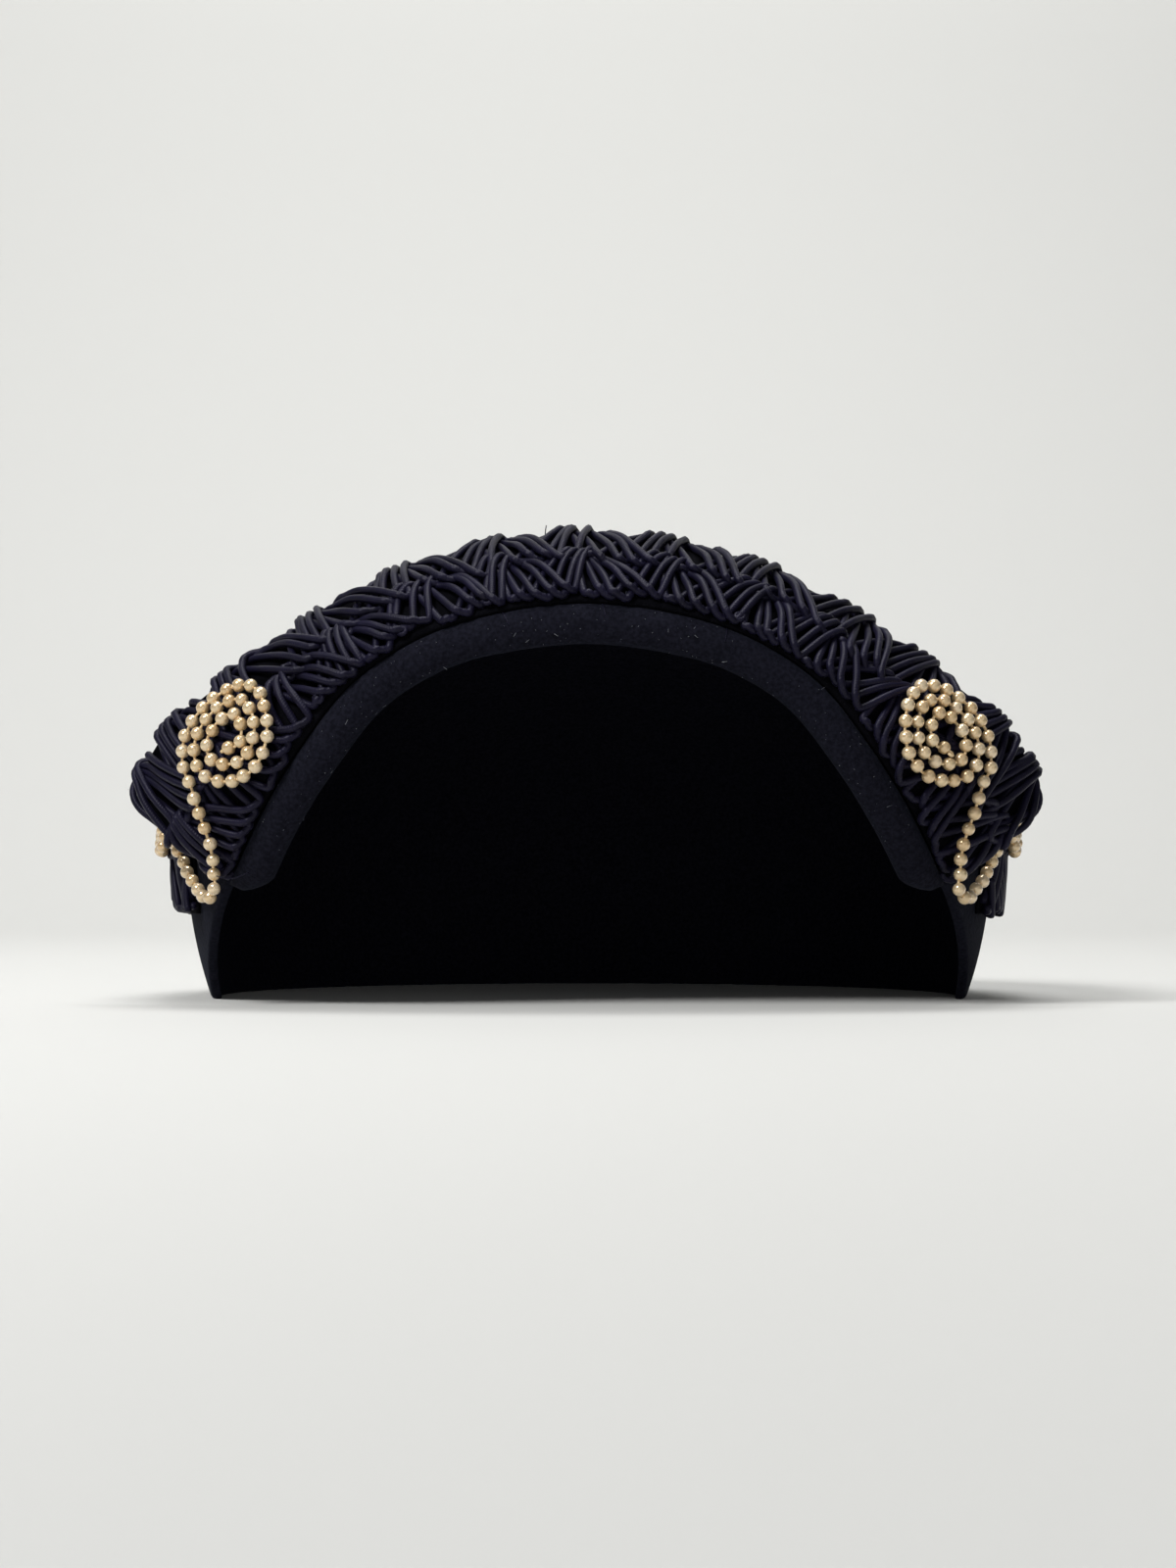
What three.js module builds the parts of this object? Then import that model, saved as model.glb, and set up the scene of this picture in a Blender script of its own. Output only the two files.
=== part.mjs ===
// Capulet: a small felt cap that sits back from the brow, with a corded cuff turned up over the front arch,
// the same corded band round the sides and back, a padded felt front edge and a coiled pearl string at each
// side.
// Millimetres, +Z up, front towards -Y. The cap stands on its flat hem at z = 0.

import * as THREE from 'three';
import { mergeVertices } from 'three/addons/utils/BufferGeometryUtils.js';

// The origin lies under the middle of the whole cap, this far behind the crown's own zero
const ORIGIN_Y = 3.4;

// Felt crown: an egg-shaped dome whose top leans forward of its hem
const CROWN_HALF_WIDTH = 89.5;
const CROWN_FRONT_REACH = 85;
const CROWN_BACK_REACH = 75;
const CROWN_WIDEST_HEIGHT = 34;
const CROWN_RISE = 63;
const CROWN_CENTRE_Y = 1;
const CROWN_LEAN = 23.5;
const CROWN_LEAN_POWER = 1.3;
const HEM_TUCK = 0.065;
const FELT_WALL = 2.2;
const CROWN_ROWS = 12;
const HEM_START_DEGREES = 79;
const HEM_COLUMNS = 11;
const SIDE_EDGE_COLUMNS = 4;
const ARCH_COLUMNS = 12;

// Corded cuff, half of its sections from the middle of the front to the free end.
// The foot lies on the crown beside the front arch, the top is the free upper edge.
const CUFF_SECTIONS = [
  { footX: 0, footZ: 84, topX: 0, topY: -47.5, topZ: 98.2 },
  { footX: 18, footZ: 82, topX: 21.5, topY: -47.2, topZ: 95.6 },
  { footX: 34, footZ: 77, topX: 42, topY: -47, topZ: 89 },
  { footX: 48, footZ: 68, topX: 60, topY: -47.5, topZ: 78.6 },
  { footX: 58, footZ: 56, topX: 75, topY: -47.5, topZ: 68 },
  { footX: 67, footZ: 42.5, topX: 88, topY: -43.5, topZ: 57 },
  { footX: 76, footZ: 26, topX: 96.8, topY: -34, topZ: 43.5 },
];
const CUFF_FOOT_STANDOFF = 2.4;
const CUFF_BULGE = 2;
const CUFF_BACK = 1.1;
const CUFF_FRONT = 0.9;

// Zig-zag cording: bundles of cord laid in two nested rows over a backing
const ZIGZAG_LENGTH = 16.5;
const CORD_ROWS = 2;
const ZIGZAG_RISE = 0.45;
const CORD_RELIEF = 1.6;
const LINES_PER_ROW = 4;
const STEPS_PER_ZIGZAG = 4;
const EDGE_THINNING = 0.45;

// Corded band round the sides and back
const BAND_START_DEGREES = 71;
const BAND_BOTTOM = 19;
const BAND_TOP = 51;
const BAND_GAP = 0.7;
const BAND_BACKING = 1.3;

// Padded felt roll along the front arch
const ROLL_HALF_HEIGHT = 4.1;
const ROLL_HALF_DEPTH = 3;
const ROLL_GAP = 0.8;
const ROLL_SETBACK = 1.2;
const ROLL_STEPS = 36;
const ROLL_SIDES = 10;
const ROLL_TAPER = 0.03;

// Pearl strings
const PEARL_DIAMETER = 2.5;
const PEARL_SIDES = 8;
const PEARL_STEPS = 80;
const PEARL_CLEARANCE = 0.4;
const COIL_OUTER_RADIUS = 10.8;
const COIL_TURN_PITCH = 2.95;
const COIL_TURNS = 2.8;
const COIL_POINTS_PER_TURN = 14;
// The coil on the cuff is an oval that stands upright as the cap is seen from the front; the other is round.
const CUFF_COIL = {
  section: 4.48, across: 0.43, startDegrees: 31, direction: 1, stretch: 1.15, stretchDegrees: 139,
};
const SIDE_COIL = {
  degrees: 80.5, height: 41.5, startDegrees: 130, direction: -1, stretch: 1, stretchDegrees: 0,
};
// The tail leaves the cuff coil, runs down the cuff's end, turns under it and rises to the side coil.
const TAIL_ON_CUFF = [
  { section: 5.17, across: 0.48 },
  { section: 5.4, across: 0.29 },
  { section: 5.62, across: 0.13 },
  { section: 5.86, across: 0.03 },
];
const TAIL_IN_AIR = [
  { x: 77.8, y: -51, z: 24.6 },
  { x: 80.2, y: -46.5, z: 22.6 },
  { x: 83.5, y: -40.5, z: 26 },
  { x: 87.3, y: -33.3, z: 31.8 },
  { x: 90.3, y: -26.8, z: 38.5 },
];

const MATERIALS = {
  felt: new THREE.MeshStandardMaterial({ color: 0x1c1e2a, roughness: 0.95, metalness: 0 }),
  cord: new THREE.MeshStandardMaterial({ color: 0x2d2d41, roughness: 0.6, metalness: 0 }),
  pearl: new THREE.MeshStandardMaterial({ color: 0xe6d2af, roughness: 0.25, metalness: 0 }),
};

// Solids

// Reverses the triangles where they face inwards, so that the body has a positive volume.
function facingOut(points, triangles) {
  let volume = 0;
  for (let i = 0; i < triangles.length; i += 3) {
    const [a, b, c] = [points[triangles[i]], points[triangles[i + 1]], points[triangles[i + 2]]];
    volume += a.dot(new THREE.Vector3().crossVectors(b, c));
  }
  return volume > 0 ? triangles : triangles.slice().reverse();
}

// Merges equal points and drops the triangles that collapse, such as those at a pole.
function bodyGeometry(points, triangles) {
  const loose = new THREE.BufferGeometry().setFromPoints(points);
  loose.setIndex(facingOut(points, triangles));
  const merged = mergeVertices(loose, 1e-3);
  const index = merged.getIndex().array;
  const kept = [];
  for (let i = 0; i < index.length; i += 3) {
    const [a, b, c] = [index[i], index[i + 1], index[i + 2]];
    if (a !== b && b !== c && a !== c) kept.push(a, b, c);
  }
  merged.setIndex(kept);
  merged.computeVertexNormals();
  return merged;
}

// A wall between two grids of points; a wall that goes all round joins its last column to its first.
function wallBetween(outer, inner, allRound) {
  const rows = outer.length;
  const columns = outer[0].length;
  const spans = allRound ? columns : columns - 1;
  const at = (layer, row, column) => (layer * rows + row) * columns + (column % columns);
  const points = [...outer.flat(), ...inner.flat()];
  const triangles = [];
  // Each quad is split along its shorter diagonal.
  const quad = (a, b, c, d) => {
    if (points[a].distanceTo(points[c]) <= points[b].distanceTo(points[d])) triangles.push(a, b, c, a, c, d);
    else triangles.push(b, c, d, b, d, a);
  };
  for (let column = 0; column < spans; column++) {
    const next = column + 1;
    for (let row = 0; row < rows - 1; row++) {
      quad(at(0, row, column), at(0, row, next), at(0, row + 1, next), at(0, row + 1, column));
      quad(at(1, row, column), at(1, row + 1, column), at(1, row + 1, next), at(1, row, next));
    }
    quad(at(0, 0, next), at(0, 0, column), at(1, 0, column), at(1, 0, next));
    const top = rows - 1;
    quad(at(0, top, column), at(0, top, next), at(1, top, next), at(1, top, column));
  }
  if (!allRound) {
    const last = columns - 1;
    for (let row = 0; row < rows - 1; row++) {
      quad(at(0, row, 0), at(0, row + 1, 0), at(1, row + 1, 0), at(1, row, 0));
      quad(at(0, row + 1, last), at(0, row, last), at(1, row, last), at(1, row + 1, last));
    }
  }
  return bodyGeometry(points, triangles);
}

// A rod through a list of rings, closed to a point at both ends.
function rodThrough(rings) {
  const sides = rings[0].length;
  const points = rings.flat();
  const triangles = [];
  for (let ring = 0; ring < rings.length - 1; ring++) {
    for (let side = 0; side < sides; side++) {
      const next = (side + 1) % sides;
      const [a, b] = [ring * sides + side, ring * sides + next];
      triangles.push(a, b, b + sides, a, b + sides, a + sides);
    }
  }
  return bodyGeometry(points, triangles);
}

// Crown surface

const level = (z) => (z >= CROWN_WIDEST_HEIGHT
  ? Math.asin((z - CROWN_WIDEST_HEIGHT) / CROWN_RISE) / (Math.PI / 2)
  : z / CROWN_WIDEST_HEIGHT - 1);

// How much narrower the crown is than at its widest, from the hem (-1) to the top (1).
const narrowing = (at) => (at >= 0 ? Math.cos(at * Math.PI / 2) : 1 - HEM_TUCK * at * at);

const leanAt = (at) => CROWN_LEAN * Math.sin(Math.max(at, 0) * Math.PI / 2) ** CROWN_LEAN_POWER;

// A point of the crown at an angle round from the front, at a level, a depth below the outer face.
function crownPoint(angle, at, depth = 0) {
  const reach = Math.cos(angle) > 0 ? CROWN_FRONT_REACH : CROWN_BACK_REACH;
  const radius = narrowing(at) / Math.hypot(
    Math.sin(angle) / (CROWN_HALF_WIDTH - depth), Math.cos(angle) / (reach - depth));
  const z = at >= 0
    ? CROWN_WIDEST_HEIGHT + (CROWN_RISE - depth) * Math.sin(at * Math.PI / 2)
    : CROWN_WIDEST_HEIGHT * (1 + at);
  const y = CROWN_CENTRE_Y - leanAt(at) - radius * Math.cos(angle);
  return new THREE.Vector3(radius * Math.sin(angle), y, z);
}

// The angle round from the front at which the crown's front has this half-breadth and height.
function crownAngle(x, z) {
  const at = level(z);
  const forward = narrowing(at) ** 2 - (x / CROWN_HALF_WIDTH) ** 2;
  return Math.atan2(x, CROWN_FRONT_REACH * Math.sqrt(Math.max(forward, 0)));
}

function crownNormal(angle, at) {
  const step = 0.01;
  const across = crownPoint(angle + step, at).sub(crownPoint(angle - step, at));
  const up = crownPoint(angle, at + step).sub(crownPoint(angle, at - step));
  return across.cross(up).normalize();
}

// Cuff surface

function mirroredCurve(pointOf) {
  const right = CUFF_SECTIONS.map(pointOf);
  const left = right.slice(1).reverse().map((p) => new THREE.Vector3(-p.x, p.y, p.z));
  return new THREE.CatmullRomCurve3([...left, ...right], false, 'catmullrom', 0.5);
}

function cuffFootPoint(section) {
  const foot = crownPoint(crownAngle(section.footX, section.footZ), level(section.footZ));
  return foot.setY(foot.y - CUFF_FOOT_STANDOFF);
}

const footCurve = mirroredCurve(cuffFootPoint);
const topCurve = mirroredCurve((section) => new THREE.Vector3(section.topX, section.topY, section.topZ));

// The sections' place along the cuff, from 0 at the left end to 1 at the right end.
const sectionPlace = (section) => 0.5 + section / (CUFF_SECTIONS.length - 1) / 2;

function cuffMiddle(place) {
  return footCurve.getPoint(place).lerp(topCurve.getPoint(place), 0.5);
}

function cuffFrame(place) {
  const step = 0.002;
  const from = Math.max(place - step, 0);
  const to = Math.min(place + step, 1);
  const along = cuffMiddle(to).sub(cuffMiddle(from)).normalize();
  const across = topCurve.getPoint(place).sub(footCurve.getPoint(place));
  const out = along.clone().cross(across).normalize();
  return { along, across, out };
}

// A point of the cuff: place along it, share of its breadth from the foot, lift off its middle layer.
function cuffPoint(place, share, lift) {
  const { across, out } = cuffFrame(place);
  const bulge = CUFF_BULGE * 4 * share * (1 - share);
  return footCurve.getPoint(place).addScaledVector(across, share).addScaledVector(out, bulge + lift);
}

function cuffLength() {
  const samples = 200;
  let length = 0;
  for (let i = 0; i < samples; i++) {
    length += cuffMiddle(i / samples).distanceTo(cuffMiddle((i + 1) / samples));
  }
  return length;
}

// Cording

// A zig-zag between -1 and 1, counted in zig-zags along the band.
const zigzag = (along) => 4 * Math.abs(along - Math.floor(along + 0.5)) - 1;

// Height of the cord bundles over the backing at a share of the band's breadth, thinned at its edges.
function cordHeight(along, share, backing) {
  const row = share * CORD_ROWS - 0.5 - ZIGZAG_RISE * zigzag(along);
  const full = backing + CORD_RELIEF * Math.cos(Math.PI * row) ** 2;
  return share === 0 || share === 1 ? EDGE_THINNING * full : full;
}

// A corded band: pointAt gives a point at a share of its length and breadth, lifted off its middle layer.
// Its grid lines follow the ridges and valleys of the cord bundles, and stop at the band's edges.
function cordedBand(length, front, back, pointAt) {
  const columns = Math.round(length / ZIGZAG_LENGTH) * STEPS_PER_ZIGZAG;
  const lines = LINES_PER_ROW * (CORD_ROWS + 1) + 1;
  const shareAt = (line, along) => {
    const row = line / LINES_PER_ROW - 1;
    return THREE.MathUtils.clamp((row + 0.5 + ZIGZAG_RISE * zigzag(along)) / CORD_ROWS, 0, 1);
  };
  const sheet = (liftAt) => Array.from({ length: lines + 2 }, (_, line) => (
    Array.from({ length: columns + 1 }, (_, column) => {
      const along = column / STEPS_PER_ZIGZAG;
      const edge = line === 0 ? 0 : 1;
      const share = line === 0 || line === lines + 1 ? edge : shareAt(line - 1, along);
      return pointAt(column / columns, share, liftAt(along, share));
    })));
  const thinned = (share, lift) => (share === 0 || share === 1 ? EDGE_THINNING * lift : lift);
  return wallBetween(sheet((along, share) => cordHeight(along, share, front)),
    sheet((along, share) => -thinned(share, back)), false);
}

// Pieces

// The lower edge of the crown's right half: the front arch, the slant behind the cuff's end, the hem.
function crownEdge() {
  const edge = [];
  const last = CUFF_SECTIONS.length - 1;
  for (let i = 0; i <= ARCH_COLUMNS; i++) {
    const foot = footCurve.getPoint(sectionPlace(last * i / ARCH_COLUMNS));
    edge.push({ angle: crownAngle(Math.max(foot.x, 0), foot.z), at: level(foot.z) });
  }
  const tip = edge.at(-1);
  const hemStart = THREE.MathUtils.degToRad(HEM_START_DEGREES);
  for (let i = 1; i <= SIDE_EDGE_COLUMNS; i++) {
    const share = i / SIDE_EDGE_COLUMNS;
    edge.push({
      angle: THREE.MathUtils.lerp(tip.angle, hemStart, share),
      at: THREE.MathUtils.lerp(tip.at, -1, share),
    });
  }
  for (let i = 1; i <= HEM_COLUMNS; i++) {
    edge.push({ angle: THREE.MathUtils.lerp(hemStart, Math.PI, i / HEM_COLUMNS), at: -1 });
  }
  return edge;
}

function crown() {
  const right = crownEdge();
  const left = right.slice(1, -1).reverse().map((end) => ({ angle: -end.angle, at: end.at }));
  const edge = [...right, ...left];
  const sheet = (depth) => Array.from({ length: CROWN_ROWS + 1 }, (_, row) => edge.map((end) => (
    crownPoint(end.angle, THREE.MathUtils.lerp(end.at, 1, row / CROWN_ROWS), depth))));
  return wallBetween(sheet(0), sheet(FELT_WALL), true);
}

function frontRim() {
  const rings = [];
  for (let i = 0; i <= ROLL_STEPS; i++) {
    const place = i / ROLL_STEPS;
    const { along, across } = cuffFrame(place);
    const inward = new THREE.Vector3(-across.x, 0, -across.z).normalize();
    const forward = along.clone().cross(inward).negate().normalize();
    const toEnd = Math.min(place, 1 - place);
    const swell = Math.sqrt(Math.min(toEnd / ROLL_TAPER, 1));
    const drop = ROLL_GAP + swell * ROLL_HALF_HEIGHT;
    const centre = footCurve.getPoint(place).addScaledVector(inward, drop);
    centre.y += ROLL_SETBACK;
    rings.push(Array.from({ length: ROLL_SIDES }, (_, side) => {
      const turn = 2 * Math.PI * side / ROLL_SIDES;
      return centre.clone()
        .addScaledVector(inward, swell * ROLL_HALF_HEIGHT * Math.cos(turn))
        .addScaledVector(forward, swell * ROLL_HALF_DEPTH * Math.sin(turn));
    }));
  }
  return rodThrough(rings);
}

function cuff() {
  return cordedBand(cuffLength(), CUFF_FRONT, CUFF_BACK, cuffPoint);
}

// A point of the side band: degrees round from the front, share of its breadth, lift off the crown.
function bandPoint(degrees, share, lift) {
  const angle = THREE.MathUtils.degToRad(degrees);
  const at = level(THREE.MathUtils.lerp(BAND_BOTTOM, BAND_TOP, share));
  return crownPoint(angle, at).addScaledVector(crownNormal(angle, at), BAND_GAP + lift);
}

function sideBand() {
  const sweep = 360 - 2 * BAND_START_DEGREES;
  const length = THREE.MathUtils.degToRad(sweep) * (CROWN_HALF_WIDTH + CROWN_BACK_REACH) / 2;
  return cordedBand(length, BAND_BACKING, 0, (place, share, lift) => (
    bandPoint(BAND_START_DEGREES + sweep * place, share, lift)));
}

// A flat coil as offsets from its middle, from the outer end inwards.
function coilOffsets({ startDegrees, direction, stretch, stretchDegrees }) {
  const count = Math.round(COIL_TURNS * COIL_POINTS_PER_TURN);
  const axisTurn = THREE.MathUtils.degToRad(stretchDegrees);
  const longAxis = new THREE.Vector2(Math.cos(axisTurn), Math.sin(axisTurn));
  return Array.from({ length: count + 1 }, (_, i) => {
    const turns = i / COIL_POINTS_PER_TURN;
    const radius = COIL_OUTER_RADIUS - COIL_TURN_PITCH * turns;
    const turn = THREE.MathUtils.degToRad(startDegrees) + direction * 2 * Math.PI * turns;
    const spot = new THREE.Vector2(Math.cos(turn), Math.sin(turn)).multiplyScalar(radius);
    spot.addScaledVector(longAxis, (stretch - 1) * spot.dot(longAxis));
    return { along: spot.x, across: spot.y };
  });
}

const CUFF_PEARL_LIFT = CUFF_FRONT + CORD_RELIEF + PEARL_CLEARANCE + PEARL_DIAMETER / 2;
const BAND_PEARL_LIFT = BAND_BACKING + CORD_RELIEF + PEARL_CLEARANCE + PEARL_DIAMETER / 2;

function cuffCoil() {
  const place = sectionPlace(CUFF_COIL.section);
  const step = 0.01;
  const placePerMillimetre = 2 * step / cuffMiddle(place - step).distanceTo(cuffMiddle(place + step));
  const breadth = cuffFrame(place).across.length();
  return coilOffsets(CUFF_COIL).map((offset) => cuffPoint(
    place + offset.along * placePerMillimetre, CUFF_COIL.across + offset.across / breadth, CUFF_PEARL_LIFT));
}

function sideCoil() {
  const degreesPerMillimetre = THREE.MathUtils.radToDeg(1 / CROWN_HALF_WIDTH);
  return coilOffsets(SIDE_COIL).map((offset) => bandPoint(
    SIDE_COIL.degrees + offset.along * degreesPerMillimetre,
    (SIDE_COIL.height + offset.across - BAND_BOTTOM) / (BAND_TOP - BAND_BOTTOM), BAND_PEARL_LIFT));
}

function pearlTail() {
  const onCuff = TAIL_ON_CUFF.map((p) => cuffPoint(sectionPlace(p.section), p.across, CUFF_PEARL_LIFT));
  const inAir = TAIL_IN_AIR.map((p) => new THREE.Vector3(p.x, p.y, p.z));
  return [...onCuff, ...inAir];
}

// One string as a tube; side is 1 on the right and -1 on the left.
function pearlString(side) {
  const route = [...cuffCoil().reverse(), ...pearlTail(), ...sideCoil()];
  const path = new THREE.CatmullRomCurve3(route.map((p) => new THREE.Vector3(side * p.x, p.y, p.z)));
  const corners = Array.from({ length: PEARL_SIDES }, (_, i) => {
    const turn = 2 * Math.PI * (i + 0.5) / PEARL_SIDES;
    return new THREE.Vector2(Math.cos(turn), Math.sin(turn)).multiplyScalar(PEARL_DIAMETER / 2);
  });
  return new THREE.ExtrudeGeometry(new THREE.Shape(corners), { steps: PEARL_STEPS, extrudePath: path });
}

function piece(name, geometry, material) {
  const mesh = new THREE.Mesh(geometry, material);
  mesh.name = name;
  return mesh;
}

const capulet = new THREE.Group();
capulet.add(
  piece('crown', crown(), MATERIALS.felt),
  piece('front_rim', frontRim(), MATERIALS.felt),
  piece('cuff', cuff(), MATERIALS.cord),
  piece('side_band', sideBand(), MATERIALS.cord),
  piece('pearl_string_left', pearlString(-1), MATERIALS.pearl),
  piece('pearl_string_right', pearlString(1), MATERIALS.pearl),
);

capulet.position.y = -ORIGIN_Y;

export default capulet;
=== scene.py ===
"""Capulet: the looks of the felt cap, its zig-zag cording and its pearl strings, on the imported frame.

Forms are worked out in millimetres from the same sizes as the solids, and are turned into metres as
each mesh is made. The front of the cap faces -Y.
"""

import bisect
import math
import random

import bpy
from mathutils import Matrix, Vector, noise


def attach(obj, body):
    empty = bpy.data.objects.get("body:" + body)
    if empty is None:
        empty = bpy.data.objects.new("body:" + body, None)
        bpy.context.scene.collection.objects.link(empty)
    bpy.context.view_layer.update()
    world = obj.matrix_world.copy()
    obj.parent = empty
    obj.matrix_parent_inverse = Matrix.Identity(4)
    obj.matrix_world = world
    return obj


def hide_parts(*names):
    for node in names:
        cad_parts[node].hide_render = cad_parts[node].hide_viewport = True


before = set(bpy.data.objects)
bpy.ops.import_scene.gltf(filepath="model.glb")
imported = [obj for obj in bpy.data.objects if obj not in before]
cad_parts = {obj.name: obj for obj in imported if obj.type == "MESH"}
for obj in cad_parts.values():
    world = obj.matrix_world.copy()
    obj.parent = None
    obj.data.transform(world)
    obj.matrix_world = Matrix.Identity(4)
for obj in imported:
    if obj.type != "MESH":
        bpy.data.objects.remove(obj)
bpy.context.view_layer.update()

METRES = 0.001

# The cap's form, as in the solids
ORIGIN_Y = 3.4
CROWN_HALF_WIDTH = 89.5
CROWN_FRONT_REACH = 85
CROWN_BACK_REACH = 75
CROWN_WIDEST_HEIGHT = 34
CROWN_RISE = 63
CROWN_CENTRE_Y = 1
CROWN_LEAN = 23.5
CROWN_LEAN_POWER = 1.3
HEM_TUCK = 0.065
FELT_WALL = 2.2
HEM_START_DEGREES = 79

# The crown's felt: its cut edge as (distance up from the edge, depth into the wall), and its unevenness
CUT_EDGE = [
    (0.9, 0.0),
    (0.3, 0.18),
    (0.0, 0.6),
    (0.0, FELT_WALL - 0.6),
    (0.3, FELT_WALL - 0.18),
    (0.9, FELT_WALL),
]
MILLIMETRES_PER_LEVEL = 48
FELT_UNEVENNESS = 0.35
FELT_WAVES_PER_MILLIMETRE = 0.035
EVEN_TOP_SHARE = 0.15
EVEN_EDGE_SHARE = 0.1
ARCH_COLUMNS = 48
SIDE_COLUMNS = 14
HEM_COLUMNS = 52
CROWN_ROWS = 44
TOPMOST_NORMAL_LEVEL = 0.98

# Half of the cuff's sections, from the middle of the front to its free end: foot x, foot z, top x, y, z
CUFF_SECTIONS = [
    (0, 84, 0, -47.5, 98.2),
    (18, 82, 21.5, -47.2, 95.6),
    (34, 77, 42, -47, 89),
    (48, 68, 60, -47.5, 78.6),
    (58, 56, 75, -47.5, 68),
    (67, 42.5, 88, -43.5, 57),
    (76, 26, 96.8, -34, 43.5),
]
CUFF_FOOT_STANDOFF = 2.4
CUFF_BULGE = 2
CUFF_BACK = 1.1
CUFF_MEASURES = 400

BAND_START_DEGREES = 71
BAND_BOTTOM = 19
BAND_TOP = 51
BAND_GAP = 0.7

ROLL_HALF_HEIGHT = 4.1
ROLL_HALF_DEPTH = 3
ROLL_GAP = 0.8
ROLL_SETBACK = 1.2
ROLL_TAPER = 0.03
ROLL_STEPS = 160
ROLL_SIDES = 28

# Cords of the zig-zag cording: each row reaches over a share of the face's breadth
CORD_RADIUS = 0.81
CORD_SIDES = 8
ZIGZAG_LENGTH = 17.6
ZIGZAG_SHARPNESS = 0.78
ZIGZAG_ARCH = 0.4
ZIGZAG_FOOT = 0.1
STEPS_PER_ZIGZAG = 50
CUFF_CORDING = {"rows": [(0.0, 0.54), (0.4, 1.13)], "cords": 5, "spacing": 2.6}
BAND_CORDING = {"rows": [(0.03, 0.57), (0.43, 0.97)], "cords": 6, "spacing": 2.2}
CUFF_PHASE_SHIFT = 8.0
BAND_CORD_INSET = 0.6

# How a bundle is laid: each cord lies over the one to its left, and climbs there within a leg of the zig-zag
UNDER_LIFT = 0.66
OVER_LIFT = 2.1
UPPER_ROW_LIFT = 0.45
CLIMB_MIDDLE = 0.78
CLIMB_ADVANCE = 0.5
CLIMB_HALF_LENGTH = 0.2
FULL_CLIMB_RANK = 0.25
TURN_LENGTH = 0.13
TURN_LIFT_SHARE = 0.4
BUNDLE_SPREAD_LOW = 1.3
BUNDLE_SPREAD_HIGH = 0.7
FANNING_ROUNDS = 4
FANNING_STEP = 0.6

# Irregularities of handwork, as (size, waves for each unit along, channel of the noise)
BUNDLE_DRIFT = (4.0, 1.1, 1)
CORD_DRIFT = (1.0, 2.3, 2)
BUNDLE_STRAY = (0.1, 2.0, 3)
CORD_STRAY = (0.16, 2.1, 4)
CORD_RISE = (0.3, 3.0, 5)
ROLL_LUMPS = (0.03, 0.09, 1)
ROLL_RIPPLES = (0.015, 0.4, 1)

# Lanes of that noise: one for each cord, and from BUNDLE_LANE on one for each bundle
BUNDLE_LANE = 40
NOISE_LANE_START = 0.37
NOISE_LANE_STEP = 7.31
NOISE_CHANNEL_START = 0.61
NOISE_CHANNEL_STEP = 3.77

# The cloth behind the cords, from its lower edge up; its lip is given as (share, lift)
BACKING_COLUMNS = 150
BACKING_SHARES = [0.0, 0.03, *(tenth / 10 for tenth in range(1, 10)), 0.97, 1.0]
BACKING_START = 0.5
CUFF_BACKING_FRONT = -0.05
BAND_BACKING_FRONT = 0.1
BAND_BACKING_BACK = -0.45
CUFF_LIP = [(1.05, 0.2), (1.09, 0.6)]
END_SWELL = 0.8
END_SWELL_LENGTH = 8

# The cuff's ends and upper edge, where the cording turns round to the back
END_INSET = 2.5
END_WRAP = 3.0
WRAP_RADIUS = 1.8
WRAP_LIFT = 0.7
CORNER_RADIUS = 5.0

# Pearls and their thread
PEARL_RADIUS = 1.46
PEARL_SPACING = 3.42
PEARL_SIZES = (0.96, 1.03)
PEARL_NUDGE = 0.16
PEARL_SIDES = 20
PEARL_RINGS = 11
PEARL_SEED = 11
HOLE_ANGLE = 0.16
DIMPLE_RADIUS_SHARE = 0.9
THREAD_RADIUS = 0.3
THREAD_SIDES = 6
THREAD_STEP = 0.9
THREAD_STEADY = Vector((0.31, -0.52, 0.79))
CURL_RADIUS = 0.75
CURL_START = 1.5
CURL_STEP = 0.45
CURL_POINTS = 10

# Routes of the pearl strings: coils on the cuff and on the side band, and the tail between them
COIL_OUTER_RADIUS = 10.8
COIL_TURN_PITCH = 2.95
COIL_TURNS = 2.8
COIL_POINTS_PER_TURN = 14
COIL_UNEVENNESS = 0.25
COIL_LOBES = 3
CUFF_COIL = {"section": 4.48, "across": 0.43, "start": 31, "direction": 1, "stretch": 1.15, "axis": 139}
SIDE_COIL = {"degrees": 80.5, "height": 41.5, "start": 130, "direction": -1, "stretch": 1, "axis": 0}
CUFF_PEARL_LIFT = 4.15
BAND_PEARL_LIFT = 4.55
TAIL_ON_CUFF = [(5.17, 0.48), (5.4, 0.29), (5.62, 0.13), (5.86, 0.03)]
TAIL_IN_AIR = [
    (77.8, -51, 24.6),
    (80.2, -46.5, 22.6),
    (83.5, -40.5, 26),
    (87.3, -33.3, 31.8),
    (90.3, -26.8, 38.5),
]
ROUTE_STEPS = 4000

# Tucked cord ends, at distances from the cuff's middle
TUCKED_ENDS = [-66, -42, -21.5, 35]
TUCKED_END_RADIUS = 0.5
TUCKED_END_SIDES = 7
TUCKED_END_STEPS = 24
TUCKED_END_TURNS = 1.4
TUCKED_END_REACH = (1.5, 0.5)
TUCKED_END_LIFT = (0.8, 1.7)
TUCKED_END_SHARE = 0.06

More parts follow.
